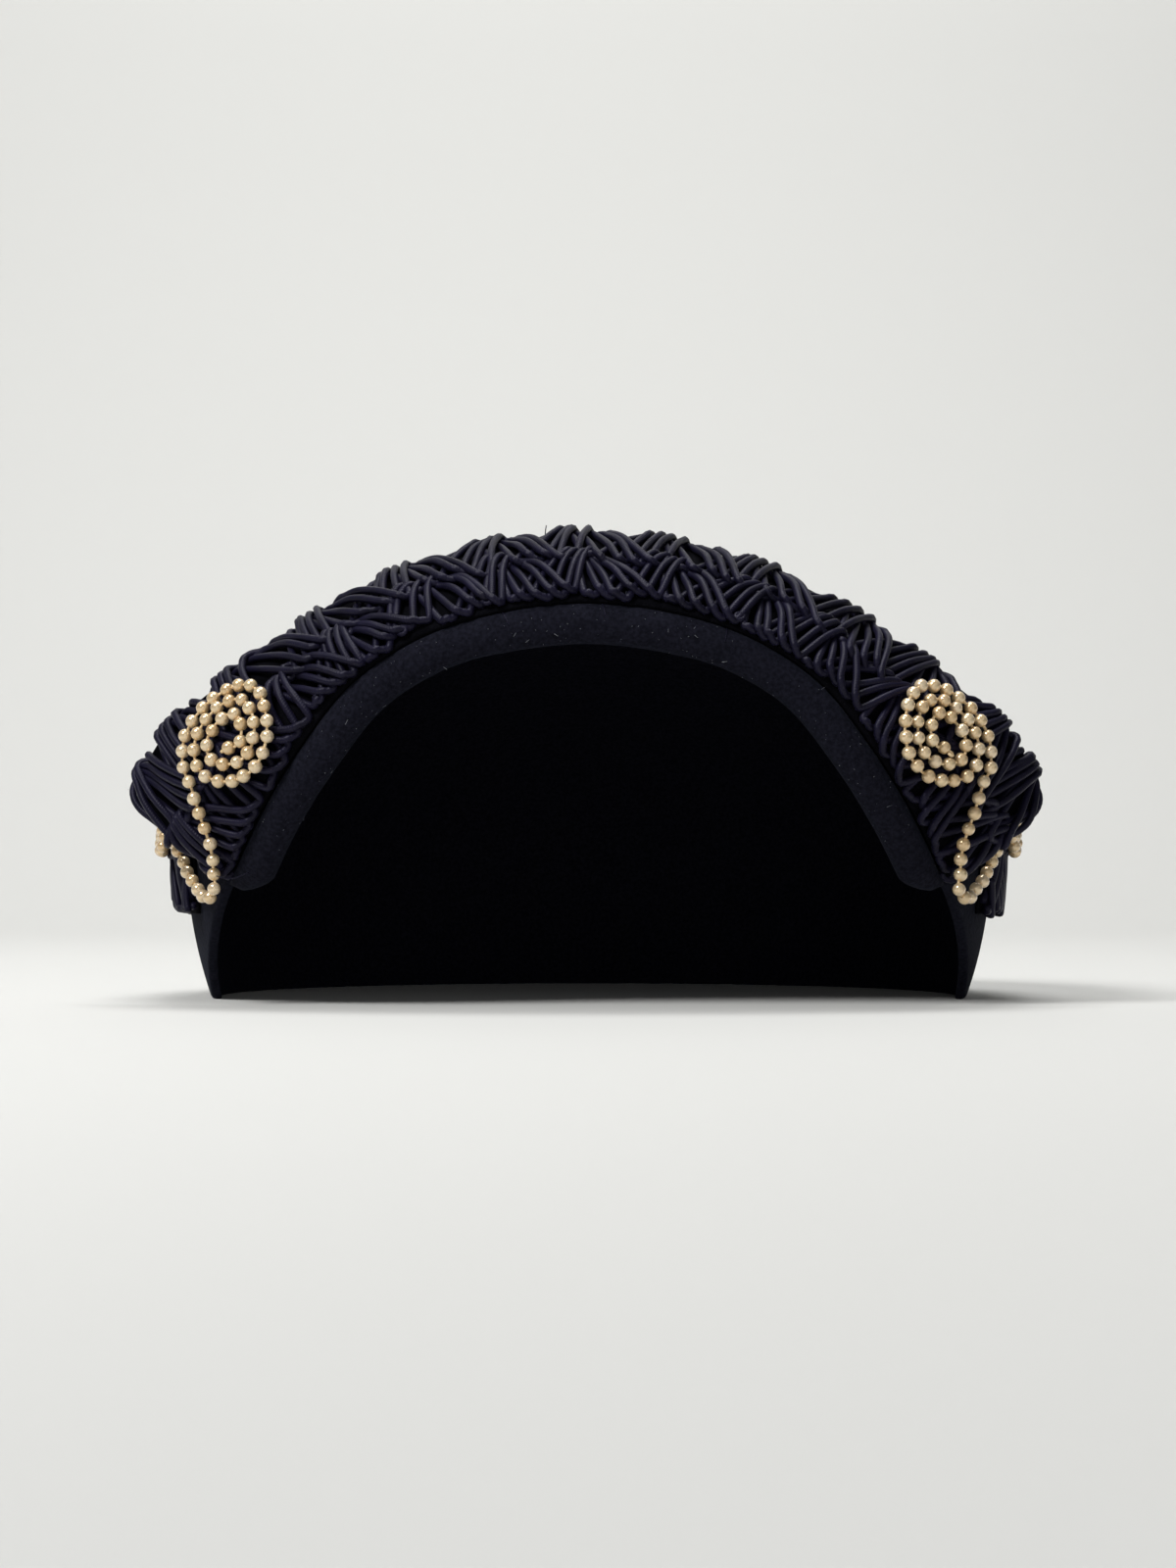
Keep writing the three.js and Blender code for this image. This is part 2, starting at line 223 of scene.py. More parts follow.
# Fine threads: ends as (distance from the cuff's middle, length), stitches at places along the cuff, one tack
FINE_THREAD_RADIUS = 0.11
FINE_THREAD_SIDES = 6
THREAD_ENDS = [(-8, 2.6), (31, 2.2), (66, 2.0)]
THREAD_END_BEND = Vector((0.25, -0.15, 0))
THREAD_END_SHARES = (0, 0.35, 0.7, 1)
STITCH_PLACES = [0.42, 0.515, 0.64]
STITCH_SLANT = 0.0006
STITCH_POINTS = 8
STITCH_STRETCH = 1.01
TRIM_RING_SIDES = 40
TACK_LIFT = 0.8
TACK_PLACE = 0.03
TACK_CORNER = 11
TACK_SLACK = Vector((0, -0.8, -1.2))
TACK_STEPS = 10

# Lint: mostly specks, with a few longer fibres
LINT_ON_ROLL = 170
LINT_ON_CORDS = 26
LINT_SEED = 5
LINT_PLACES = (0.06, 0.94)
LINT_CORNERS = (2, 19)
LINT_STRETCH = 1.005
LINT_LEANS = (-0.5, 0.1)
LINT_SPECK_SHARE = 0.85
LINT_SPECK_LENGTHS = (0.08, 0.25)
LINT_FIBRE_LENGTHS = (0.5, 1.3)
LINT_RADII = (0.02, 0.045)
LINT_SIDES = 5

# Twist of the cord's strands, for its material
CORD_TWISTS_PER_MILLIMETRE = 1.6
CORD_STRANDS = 3

# Studio, in metres; each light is a name, a place, a size, a power and what it is aimed at
FLOOR_HALF_WIDTH = 2.5
FLOOR_FRONT = -2.0
SWEEP_START = 0.5
SWEEP_RADIUS = 0.4
SWEEP_STEPS = 12
BACKDROP_HEIGHT = 2.2
CAP_MIDDLE = (0, -0.02, 0.05)
BACKDROP_SPOT = (0, 0.9, 0.3)
LIGHTS = [
    ("key", (-0.62, -0.65, 0.97), 0.42, 13.5, CAP_MIDDLE),
    ("fill", (0.8, -0.9, 0.45), 0.8, 0.7, CAP_MIDDLE),
    ("top", (0.0, -0.1, 0.9), 0.5, 2, CAP_MIDDLE),
    ("front", (0.05, -1.4, 0.3), 0.5, 1.2, CAP_MIDDLE),
    ("backdrop_wash", (0.0, 0.15, 1.1), 0.6, 8.0, BACKDROP_SPOT),
]
SKY_COLOUR = (0.95, 0.97, 1.0, 1)
SKY_STRENGTH = 0.09
CAMERA_PLACE = (0.008, -0.8377, 0.0367)
CAMERA_TARGET = (0.0, -0.02, 0.047)
CAMERA_SENSOR_WIDTH = 36
CAMERA_LENS = 86


# Small helpers

def mix(a, b, share):
    return a + (b - a) * share


def smooth(low, high, value):
    """A soft step from 0 at the low value to 1 at the high one."""
    share = min(max((value - low) / (high - low), 0.0), 1.0)
    return share * share * (3 - 2 * share)


def irregularity(kind, along, lane):
    """Smooth noise along a lane, of a kind given as (size, waves for each unit along, channel)."""
    size, waves, channel = kind
    lane_offset = lane * NOISE_LANE_STEP + NOISE_LANE_START
    channel_offset = channel * NOISE_CHANNEL_STEP + NOISE_CHANNEL_START
    return size * noise.noise(Vector((along * waves, lane_offset, channel_offset)))


# Crown surface

def level(z):
    """The crown's level at a height: -1 at the hem, 0 where the crown is widest and 1 at its top."""
    if z >= CROWN_WIDEST_HEIGHT:
        return math.asin((z - CROWN_WIDEST_HEIGHT) / CROWN_RISE) / (math.pi / 2)
    return z / CROWN_WIDEST_HEIGHT - 1


def narrowing(at):
    """The crown's breadth at a level, as a share of its widest."""
    return math.cos(at * math.pi / 2) if at >= 0 else 1 - HEM_TUCK * at * at


def crown_point(angle, at, depth=0.0):
    """A point of the crown at an angle round from the front, at a level, a depth below the outer face."""
    reach = CROWN_FRONT_REACH if math.cos(angle) > 0 else CROWN_BACK_REACH
    breadth = math.sin(angle) / (CROWN_HALF_WIDTH - depth)
    length = math.cos(angle) / (reach - depth)
    radius = narrowing(at) / math.hypot(breadth, length)
    rise = max(math.sin(at * math.pi / 2), 0.0)
    z = CROWN_WIDEST_HEIGHT + (CROWN_RISE - depth) * rise if at >= 0 else CROWN_WIDEST_HEIGHT * (1 + at)
    lean = CROWN_LEAN * rise ** CROWN_LEAN_POWER
    return Vector((radius * math.sin(angle), CROWN_CENTRE_Y - lean - radius * math.cos(angle), z))


def crown_angle(x, z):
    """The angle round from the front of the point of the crown's front half at a breadth and a height."""
    forward = narrowing(level(z)) ** 2 - (x / CROWN_HALF_WIDTH) ** 2
    return math.atan2(x, CROWN_FRONT_REACH * math.sqrt(max(forward, 0)))


def crown_normal(angle, at):
    """The outward direction at a point of the crown's outer face."""
    step = 0.01
    across = crown_point(angle + step, at) - crown_point(angle - step, at)
    up = crown_point(angle, min(at + step, 1)) - crown_point(angle, at - step)
    return across.cross(up).normalized()


# Cuff surface

def curve_point(points, share):
    """A point of the smooth curve through the points, at a share of their count."""
    last = len(points) - 1
    place = min(max(share, 0.0), 1.0) * last
    index = min(int(place), last - 1)
    t = place - index
    start, end = points[index], points[index + 1]
    before = points[index - 1] if index > 0 else start * 2 - end
    after = points[index + 2] if index + 2 <= last else end * 2 - start
    leave = (end - before) / 2
    arrive = (after - start) / 2
    bend = (end - start) * 3 - leave * 2 - arrive
    turn = (start - end) * 2 + leave + arrive
    return start + leave * t + bend * t ** 2 + turn * t ** 3


def mirrored(points):
    """The whole line of points, from its right half with the middle point first."""
    left = [Vector((-p.x, p.y, p.z)) for p in reversed(points[1:])]
    return left + points


def cuff_foot(foot_x, foot_z):
    """A point of the cuff's foot, a little in front of the crown."""
    foot = crown_point(crown_angle(foot_x, foot_z), level(foot_z))
    return foot - Vector((0, CUFF_FOOT_STANDOFF, 0))


FOOT_LINE = mirrored([cuff_foot(s[0], s[1]) for s in CUFF_SECTIONS])
TOP_LINE = mirrored([Vector(s[2:]) for s in CUFF_SECTIONS])


def section_place(section):
    """The place along the whole cuff, from 0 to 1, of a section on its right half."""
    return 0.5 + section / (len(CUFF_SECTIONS) - 1) / 2


def cuff_middle(place):
    return (curve_point(FOOT_LINE, place) + curve_point(TOP_LINE, place)) / 2


def cuff_frame(place):
    """Directions at a place along the cuff: along it, across it from foot to top at full length, and out."""
    step = 0.002
    along = cuff_middle(min(place + step, 1)) - cuff_middle(max(place - step, 0))
    across = curve_point(TOP_LINE, place) - curve_point(FOOT_LINE, place)
    return along.normalized(), across, along.cross(across).normalized()


def cuff_point(place, share, lift):
    """A point of the cuff at a share of the way from foot to top, lifted off its face."""
    _, across, out = cuff_frame(place)
    bulge = CUFF_BULGE * 4 * share * (1 - share)
    return curve_point(FOOT_LINE, place) + across * share + out * (bulge + lift)


def measured_places():
    """Distances along the cuff's middle and the places they belong to."""
    places = [i / CUFF_MEASURES for i in range(CUFF_MEASURES + 1)]
    distances = [0.0]
    for a, b in zip(places, places[1:]):
        distances.append(distances[-1] + (cuff_middle(b) - cuff_middle(a)).length)
    return distances, places


CUFF_DISTANCES, CUFF_PLACES = measured_places()
CUFF_LENGTH = CUFF_DISTANCES[-1]


def place_at(distance):
    """The place along the cuff at a distance from its left end."""
    index = min(max(bisect.bisect(CUFF_DISTANCES, distance) - 1, 0), len(CUFF_PLACES) - 2)
    span = CUFF_DISTANCES[index + 1] - CUFF_DISTANCES[index]
    share = min(max((distance - CUFF_DISTANCES[index]) / span, 0.0), 1.0)
    return mix(CUFF_PLACES[index], CUFF_PLACES[index + 1], share)


# Faces that the cording lies on: each gives a point and the face's normal there

def bent_round(overshoot, outward, normal):
    """Shift and normal of a face that turns round an edge and comes back behind it."""
    turn = min(overshoot / WRAP_RADIUS, math.pi)
    behind = max(overshoot - WRAP_RADIUS * math.pi, 0.0)
    bulge = WRAP_LIFT * math.sin(turn)
    return outward * (bulge - behind), outward * math.sin(turn) + normal * math.cos(turn)


def past_edge(distance, height, breadth):
    """How far a spot lies past the cuff's ends, its upper edge or their rounded corner, and which way."""
    sign = math.copysign(1, distance - CUFF_LENGTH / 2)
    endways = abs(distance - CUFF_LENGTH / 2) - (CUFF_LENGTH / 2 - END_INSET - CORNER_RADIUS)
    upwards = height - (breadth - CORNER_RADIUS)
    if endways > 0 and upwards > 0:
        reach = math.hypot(endways, upwards)
        return reach - CORNER_RADIUS, sign * endways / reach, upwards / reach
    if endways > upwards:
        return endways - CORNER_RADIUS, sign, 0.0
    return upwards - CORNER_RADIUS, 0.0, 1.0


def on_cuff(distance, share, lift):
    """On the cuff's face; past its ends and its upper edge the face turns round to the back."""
    breadth = cuff_frame(place_at(distance))[1].length
    over, endways, upwards = past_edge(distance, share * breadth, breadth)
    over = max(over, 0.0)
    place = place_at(distance - endways * over)
    along, across, normal = cuff_frame(place)
    point = cuff_point(place, share - upwards * over / breadth, 0.0)
    outward = (along * endways + across.normalized() * upwards).normalized()
    shift, normal = bent_round(over, outward, normal)
    return point + shift + normal * lift, normal


BAND_SWEEP = 360 - 2 * BAND_START_DEGREES
BAND_LENGTH = math.radians(BAND_SWEEP) * (CROWN_HALF_WIDTH + CROWN_BACK_REACH) / 2


def on_band(distance, share, lift):
    """On the side band's face, which lies on the crown."""
    angle = math.radians(BAND_START_DEGREES + BAND_SWEEP * distance / BAND_LENGTH)
    at = level(mix(BAND_BOTTOM, BAND_TOP, share))
    normal = crown_normal(angle, at)
    return crown_point(angle, at) + normal * (BAND_GAP + lift), normal


# Mesh making

def place_piece(name, points, faces, material, uv=None):
    """A smooth mesh from points in millimetres, riding on the cap."""
    mesh = bpy.data.meshes.new(name)
    mesh.from_pydata([(p.x * METRES, (p.y - ORIGIN_Y) * METRES, p.z * METRES) for p in points], [], faces)
    mesh.polygons.foreach_set("use_smooth", [True] * len(mesh.polygons))
    if uv:
        layer = mesh.uv_layers.new(name="run")
        layer.data.foreach_set("uv", uv)
    mesh.materials.append(material)
    mesh.update()
    piece = bpy.data.objects.new(name, mesh)
    bpy.context.scene.collection.objects.link(piece)
    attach(piece, "root")
    return piece


def add_tube(points, faces, uv, path, radius, sides):
    """Adds a round tube along a path of (point, normal) pairs; its uv is millimetres along, turns round."""
    first = len(points)
    spots = [spot for spot, _ in path]
    distance = 0.0
    distances = []
    for i, (spot, normal) in enumerate(path):
        if i:
            distance += (spot - spots[i - 1]).length
        distances.append(distance)
        ahead = spots[min(i + 1, len(spots) - 1)] - spots[max(i - 1, 0)]
        side = ahead.cross(normal).normalized()
        up = side.cross(ahead).normalized()
        for k in range(sides):
            turn = 2 * math.pi * k / sides
            points.append(spot + (side * math.cos(turn) + up * math.sin(turn)) * radius)
    for i in range(len(path) - 1):
        for k in range(sides):
            a = first + i * sides + k
            b = first + i * sides + (k + 1) % sides
            faces.append((a, a + sides, b + sides, b))
            u0, u1, v0, v1 = distances[i], distances[i + 1], k / sides, (k + 1) / sides
            uv.extend((u0, v0, u1, v0, u1, v1, u0, v1))
    for ring, u in ((0, distances[0]), (len(path) - 1, distances[-1])):
        corners = [first + ring * sides + k for k in range(sides)]
        faces.append(tuple(reversed(corners) if ring else corners))
        uv.extend((u, 0.5) * sides)


def add_sheet(points, faces, front, back):
    """Adds a closed sheet between two grids of points of the same size."""
    rows, columns = len(front), len(front[0])
    first = len(points)
    points.extend(p for row in front for p in row)
    points.extend(p for row in back for p in row)

    def at(layer, row, column):
        return first + (layer * rows + row) * columns + column

    for r in range(rows - 1):
        for c in range(columns - 1):
            faces.append((at(0, r, c), at(0, r, c + 1), at(0, r + 1, c + 1), at(0, r + 1, c)))
            faces.append((at(1, r, c), at(1, r + 1, c), at(1, r + 1, c + 1), at(1, r, c + 1)))
    for c in range(columns - 1):
        faces.append((at(0, 0, c + 1), at(0, 0, c), at(1, 0, c), at(1, 0, c + 1)))
        faces.append((at(0, rows - 1, c), at(0, rows - 1, c + 1), at(1, rows - 1, c + 1), at(1, rows - 1, c)))
    for r in range(rows - 1):
        faces.append((at(0, r, 0), at(0, r + 1, 0), at(1, r + 1, 0), at(1, r, 0)))
        faces.append((at(0, r + 1, columns - 1), at(0, r, columns - 1), at(1, r, columns - 1),
                      at(1, r + 1, columns - 1)))


def capped_loft(rings):
    """Points and faces of a closed form through rings of points, whose first and last rings are one spot."""
    count = len(rings[0])
    points = [rings[0][0]] + [spot for ring in rings[1:-1] for spot in ring] + [rings[-1][0]]
    last = len(points) - 1
    faces = []
    for c in range(count):
        d = (c + 1) % count
        faces.append((0, 1 + c, 1 + d))
        for first in range(1, last - count, count):
            faces.append((first + c, first + count + c, first + count + d, first + d))
        faces.append((last - count + c, last, last - count + d))
    return points, faces


# Materials

def new_material(name, colour, roughness, specular=0.5, sheen=0.0, sheen_tint=(1, 1, 1), coat=0.0):
    """A material, its node tree and its main shader."""
    material = bpy.data.materials.new(name)
    material.use_nodes = True
    shader = material.node_tree.nodes["Principled BSDF"]
    shader.inputs["Base Color"].default_value = (*colour, 1)
    shader.inputs["Roughness"].default_value = roughness
    shader.inputs["Specular IOR Level"].default_value = specular
    shader.inputs["Sheen Weight"].default_value = sheen
    shader.inputs["Sheen Tint"].default_value = (*sheen_tint, 1)
    shader.inputs["Coat Weight"].default_value = coat
    return material, material.node_tree, shader


def noise_node(tree, coordinate, scale, detail):
    node = tree.nodes.new("ShaderNodeTexNoise")
    node.inputs["Scale"].default_value = scale
    node.inputs["Detail"].default_value = detail
    tree.links.new(coordinate, node.inputs["Vector"])
    return node.outputs["Fac"]


def object_coordinate(tree):
    return tree.nodes.new("ShaderNodeTexCoord").outputs["Object"]


def colour_between(tree, factor, stops):
    """A colour ramp from (position, colour) stops."""
    node = tree.nodes.new("ShaderNodeValToRGB")
    ramp = node.color_ramp
    while len(ramp.elements) < len(stops):
        ramp.elements.new(0.5)
    for element, (position, colour) in zip(ramp.elements, stops):
        element.position = position
        element.color = (*colour, 1)
    tree.links.new(factor, node.inputs["Fac"])
    return node.outputs["Color"]


def bump(tree, height, distance, strength, below=None):
    node = tree.nodes.new("ShaderNodeBump")
    node.inputs["Distance"].default_value = distance
    node.inputs["Strength"].default_value = strength
    tree.links.new(height, node.inputs["Height"])
    if below:
        tree.links.new(below, node.inputs["Normal"])
    return node.outputs["Normal"]


def felt_material():
    """Navy-black wool felt: matted fibres, a soft bluish nap and faint mottling."""
    material, tree, shader = new_material(
        "navy_felt", (0.007, 0.007, 0.012), 0.92, specular=0.05, sheen=0.02, sheen_tint=(0.45, 0.55, 0.8))
    where = object_coordinate(tree)
    mottle = noise_node(tree, where, scale=1300, detail=6)
    colour = colour_between(tree, mottle,
                            [(0.36, (0.0040, 0.0042, 0.0076)), (0.64, (0.0092, 0.0094, 0.0160))])
    tree.links.new(colour, shader.inputs["Base Color"])
    mats = noise_node(tree, where, scale=900, detail=5)
    fibres = noise_node(tree, where, scale=4200, detail=3)
    matted = bump(tree, mats, distance=0.0004, strength=0.55)
    nap = bump(tree, fibres, distance=0.00012, strength=0.5, below=matted)
    tree.links.new(nap, shader.inputs["Normal"])
    return material


def cord_material():
    """Navy rayon cord: a satin twist, lighter and darker along its length."""
    material, tree, shader = new_material(
        "navy_cord", (0.005, 0.0044, 0.0145), 0.45, specular=0.17, sheen=0.01, sheen_tint=(0.6, 0.62, 0.9))
    shader.inputs["Specular Tint"].default_value = (0.86, 0.84, 1.0, 1)
    where = object_coordinate(tree)
    shade = colour_between(tree, noise_node(tree, where, scale=220, detail=3),
                           [(0.3, (0.0034, 0.0029, 0.0096)), (0.75, (0.0070, 0.0060, 0.0198))])
    tree.links.new(shade, shader.inputs["Base Color"])
    run = tree.nodes.new("ShaderNodeUVMap")
    run.uv_map = "run"
    twist = tree.nodes.new("ShaderNodeVectorMath")
    twist.operation = "DOT_PRODUCT"
    twist.inputs[1].default_value = (2 * math.pi * CORD_TWISTS_PER_MILLIMETRE, 2 * math.pi * CORD_STRANDS, 0)
    tree.links.new(run.outputs["UV"], twist.inputs[0])
    wave = tree.nodes.new("ShaderNodeMath")
    wave.operation = "SINE"
    tree.links.new(twist.outputs["Value"], wave.inputs[0])
    threads = noise_node(tree, where, scale=3000, detail=2)
    twisted = bump(tree, wave.outputs["Value"], distance=0.00003, strength=0.5)
    spun = bump(tree, threads, distance=0.00006, strength=0.35, below=twisted)
    tree.links.new(spun, shader.inputs["Normal"])
    return material


def backing_and_painted_shade_material():
    """Dark cloth behind the cords, with a plain weave; its near-black colour is partly painted shade for the
    gaps between the cords.
    """
    # The base colour is darker than the felt and the cords: the cloth's own dark navy plus painted shade for
    # the gaps between the cords.
    material, tree, shader = new_material("navy_backing_and_painted_shade", (0.002, 0.002, 0.003), 0.95, specular=0.03)
    where = object_coordinate(tree)
    weave = tree.nodes.new("ShaderNodeTexVoronoi")
    weave.inputs["Scale"].default_value = 1800
    tree.links.new(where, weave.inputs["Vector"])
    # This near-black ramp carries that painted shade between the cords, with a tone that varies at random.
    shade = colour_between(tree, noise_node(tree, where, scale=300, detail=3),
                           [(0.3, (0.0012, 0.0012, 0.002)), (0.7, (0.003, 0.003, 0.0045))])
    tree.links.new(shade, shader.inputs["Base Color"])
    woven = bump(tree, weave.outputs["Distance"], distance=0.0002, strength=0.6)
    tree.links.new(woven, shader.inputs["Normal"])
    return material


def pearl_material():
    """Cream imitation pearl: a lacquered bead whose tone differs a little from bead to bead."""
    material, tree, shader = new_material("cream_pearl", (0.71, 0.54, 0.32), 0.25, coat=1.0)
    shader.inputs["Coat Roughness"].default_value = 0.05
    shader.inputs["Metallic"].default_value = 0.4
    shader.inputs["Subsurface Weight"].default_value = 0.15
    shader.inputs["Subsurface Radius"].default_value = (0.0012, 0.0008, 0.0004)
    tone = tree.nodes.new("ShaderNodeAttribute")
    tone.attribute_name = "tone"
    colour = colour_between(tree, tone.outputs["Fac"],
                            [(0.0, (0.64, 0.45, 0.24)), (0.5, (0.71, 0.54, 0.32)), (1.0, (0.75, 0.60, 0.40))])
    tree.links.new(colour, shader.inputs["Base Color"])
    lacquer = noise_node(tree, object_coordinate(tree), scale=1400, detail=3)
    lacquered = bump(tree, lacquer, distance=0.00004, strength=0.25)
    tree.links.new(lacquered, shader.inputs["Normal"])
    return material


def thread_material():
    """Cream beading thread with a fine twist."""
    material, tree, shader = new_material("cream_thread", (0.80, 0.60, 0.34), 0.7, specular=0.3)
    where = object_coordinate(tree)
    shade = colour_between(tree, noise_node(tree, where, scale=700, detail=3),
                           [(0.3, (0.62, 0.43, 0.22)), (0.7, (0.86, 0.68, 0.42))])
    tree.links.new(shade, shader.inputs["Base Color"])
    fibres = noise_node(tree, where, scale=5000, detail=2)
    twisted = bump(tree, fibres, distance=0.0001, strength=0.5)
    tree.links.new(twisted, shader.inputs["Normal"])
    return material


def lint_material():
    """Pale specks of lint."""
    material, tree, shader = new_material("pale_lint", (0.5, 0.5, 0.52), 0.9, specular=0.1)
    shade = colour_between(tree, noise_node(tree, object_coordinate(tree), scale=90, detail=1),
                           [(0.35, (0.06, 0.07, 0.10)), (0.65, (0.28, 0.29, 0.31))])
    tree.links.new(shade, shader.inputs["Base Color"])
    return material


# Felt pieces

def crown_edge():
    """The crown's lower edge all round, as (angle, level) pairs."""
    right = []
    for i in range(ARCH_COLUMNS + 1):
        foot = curve_point(FOOT_LINE, 0.5 + 0.5 * i / ARCH_COLUMNS)
        right.append((crown_angle(max(foot.x, 0), foot.z), level(foot.z)))
    tip = right[-1]
    hem_start = math.radians(HEM_START_DEGREES)
    for i in range(1, SIDE_COLUMNS + 1):
        share = i / SIDE_COLUMNS
        right.append((mix(tip[0], hem_start, share), mix(tip[1], -1, share)))
    for i in range(1, HEM_COLUMNS + 1):
        right.append((mix(hem_start, math.pi, i / HEM_COLUMNS), -1))
    left = [(-angle, at) for angle, at in reversed(right[1:-1])]
    return right + left


def felt_swelling(spot, share):
    """How far the felt swells out at a spot; it is even at the crown's top and at its edge."""
    fade = smooth(0, EVEN_TOP_SHARE, share) * (1 - smooth(1 - EVEN_EDGE_SHARE, 1, share))
    return FELT_UNEVENNESS * noise.noise(spot * FELT_WAVES_PER_MILLIMETRE) * fade


def crown(material):
    """The blocked felt crown, with a softened edge and a slightly uneven surface."""
    # Share of the way from the top to the edge, distance up from there and depth into the wall
    profile = [(row / CROWN_ROWS, 0.0, 0.0) for row in range(CROWN_ROWS)]
    profile += [(1.0, up, depth) for up, depth in CUT_EDGE]
    profile += [(row / CROWN_ROWS, 0.0, FELT_WALL) for row in reversed(range(CROWN_ROWS))]
    edge = crown_edge()
    rings = []
    for share, up, depth in profile:
        ring = []
        for angle, end in edge:
            at = mix(1, end, share) + up / MILLIMETRES_PER_LEVEL
            spot = crown_point(angle, min(at, 1), depth)
            outward = crown_normal(angle, min(at, TOPMOST_NORMAL_LEVEL))
            ring.append(spot + outward * felt_swelling(spot, share))
        rings.append(ring)
    points, faces = capped_loft(rings)
    piece = place_piece("crown_felt", points, faces, material)
    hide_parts("crown")


def roll_ring(place, sides, stretch):
    """A ring of points round the padded front roll, which tapers at both of its ends."""
    along, across, _ = cuff_frame(place)
    inward = Vector((-across.x, 0, -across.z)).normalized()
    forward = -along.cross(inward).normalized()
    swell = math.sqrt(min(min(place, 1 - place) / ROLL_TAPER, 1)) * stretch
    drop = ROLL_GAP + min(swell, 1) * ROLL_HALF_HEIGHT
    centre = curve_point(FOOT_LINE, place) + inward * drop + Vector((0, ROLL_SETBACK, 0))
    ring = []
    for k in range(sides):
        turn = 2 * math.pi * k / sides
        ring.append(centre + inward * (swell * ROLL_HALF_HEIGHT * math.cos(turn))
                    + forward * (swell * ROLL_HALF_DEPTH * math.sin(turn)))
    return ring


def front_rim(material):
    """The padded felt roll along the front arch, slightly lumpy from its filling."""
    rings = []
    for i in range(ROLL_STEPS + 1):
        stretch = 1 + irregularity(ROLL_LUMPS, i, lane=1) + irregularity(ROLL_RIPPLES, i, lane=2)
        rings.append(roll_ring(i / ROLL_STEPS, ROLL_SIDES, stretch))
    points, faces = capped_loft(rings)
    piece = place_piece("front_rim_felt", points, faces, material)
    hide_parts("front_rim")


# Cording

def rounded_zigzag(phase):
    """A rounded zig-zag between 1 at phase 0 and 0 at phase 0.5, with flat feet and legs arched upwards."""
    wave = math.asin(ZIGZAG_SHARPNESS * math.cos(2 * math.pi * phase)) / math.asin(ZIGZAG_SHARPNESS)
    above_foot = (0.5 + 0.5 * wave - ZIGZAG_FOOT) / (1 - ZIGZAG_FOOT)
    height = (above_foot + math.hypot(above_foot, ZIGZAG_FOOT)) / 2
    return height + ZIGZAG_ARCH * height * (1 - height)


def cord_lift(phase, rank):
    """Height of a cord's middle: under the cords on its right after a turn, then over those on its left.

    The rank runs from 0 for the first cord of a bundle to 1 for the last.
    """
    leg = (2 * phase) % 1
    climb = CLIMB_MIDDLE - CLIMB_ADVANCE * rank
    climbed = smooth(climb - CLIMB_HALF_LENGTH, climb + CLIMB_HALF_LENGTH, leg)
    over = climbed * smooth(0, FULL_CLIMB_RANK, rank)
    turning = 1 - smooth(0, TURN_LENGTH, min(leg, 1 - leg))
    return mix(UNDER_LIFT, OVER_LIFT, mix(over, TURN_LIFT_SHARE, turning))


def fanned_phase(middle_phase, offset):
    """Phase and height of a cord at an offset from its bundle's middle; the bundle is widest at its foot."""
    height = rounded_zigzag(middle_phase - offset / ZIGZAG_LENGTH)
    for _ in range(FANNING_ROUNDS):
        spread = mix(BUNDLE_SPREAD_LOW, BUNDLE_SPREAD_HIGH, height)
        phase = middle_phase - offset * spread / ZIGZAG_LENGTH
        height = mix(height, rounded_zigzag(phase), FANNING_STEP)
    return phase, rounded_zigzag(phase)


def cord_path(face, pattern, row, order, start, end, origin):
    """One cord of a row's bundle, as (point, normal) pairs on the face."""
    low, high = pattern["rows"][row]
    lane = row * pattern["cords"] + order
    rank = order / (pattern["cords"] - 1)
    offset = (rank - 0.5) * (pattern["cords"] - 1) * pattern["spacing"]
    bundle = BUNDLE_LANE + row
    steps = int((end - start) / ZIGZAG_LENGTH * STEPS_PER_ZIGZAG)
    path = []
    for i in range(steps + 1):
        distance = mix(start, end, i / steps)
        turns = distance / ZIGZAG_LENGTH
        drift = irregularity(BUNDLE_DRIFT, turns, bundle) + irregularity(CORD_DRIFT, turns, lane)
        phase, height = fanned_phase(0.5 + (distance - origin - drift) / ZIGZAG_LENGTH, offset)
        stray = irregularity(BUNDLE_STRAY, turns, bundle) + irregularity(CORD_STRAY, turns, lane)
        share = mix(low, high, height + stray)
        lift = cord_lift(phase, rank) + UPPER_ROW_LIFT * row * (1 - height)
        lift += irregularity(CORD_RISE, turns, lane)
        path.append(face(distance, max(share, 0.0), lift))
    return path


def cording(name, face, pattern, start, end, origin, material, node):
    """Nested rows of cord bundles over a face, with a lowest turn at the origin; returns the cords' paths."""
    points, faces, uv = [], [], []
    paths = [cord_path(face, pattern, row, order, start, end, origin)
             for row in range(len(pattern["rows"])) for order in range(pattern["cords"])]
    for path in paths:
        add_tube(points, faces, uv, path, CORD_RADIUS, CORD_SIDES)
    piece = place_piece(name, points, faces, material, uv=uv)
    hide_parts(node)
    return paths


def backing(name, face, start, end, front, back, material, node, lip=(), end_swell=0.0):
    """The cloth that the cords are sewn to.

    Its lip, as (share, lift) rows, folds over the upper edge, and its front swells at both ends.
    """
    def grid(rows, swell):
        sheet = []
        for share, lift in rows:
            sheet.append([])
            for c in range(BACKING_COLUMNS + 1):
                along = c / BACKING_COLUMNS
                near_end = 1 - smooth(0, END_SWELL_LENGTH, (end - start) * min(along, 1 - along))
                sheet[-1].append(face(mix(start, end, along), share, lift + swell * near_end)[0])
        return sheet

    front_rows = [(share, front) for share in BACKING_SHARES] + list(lip)
    back_rows = [(share, back) for share, _ in front_rows]
    points, faces = [], []
    add_sheet(points, faces, grid(front_rows, end_swell), grid(back_rows, 0))
    piece = place_piece(name, points, faces, material)
    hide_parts(node)


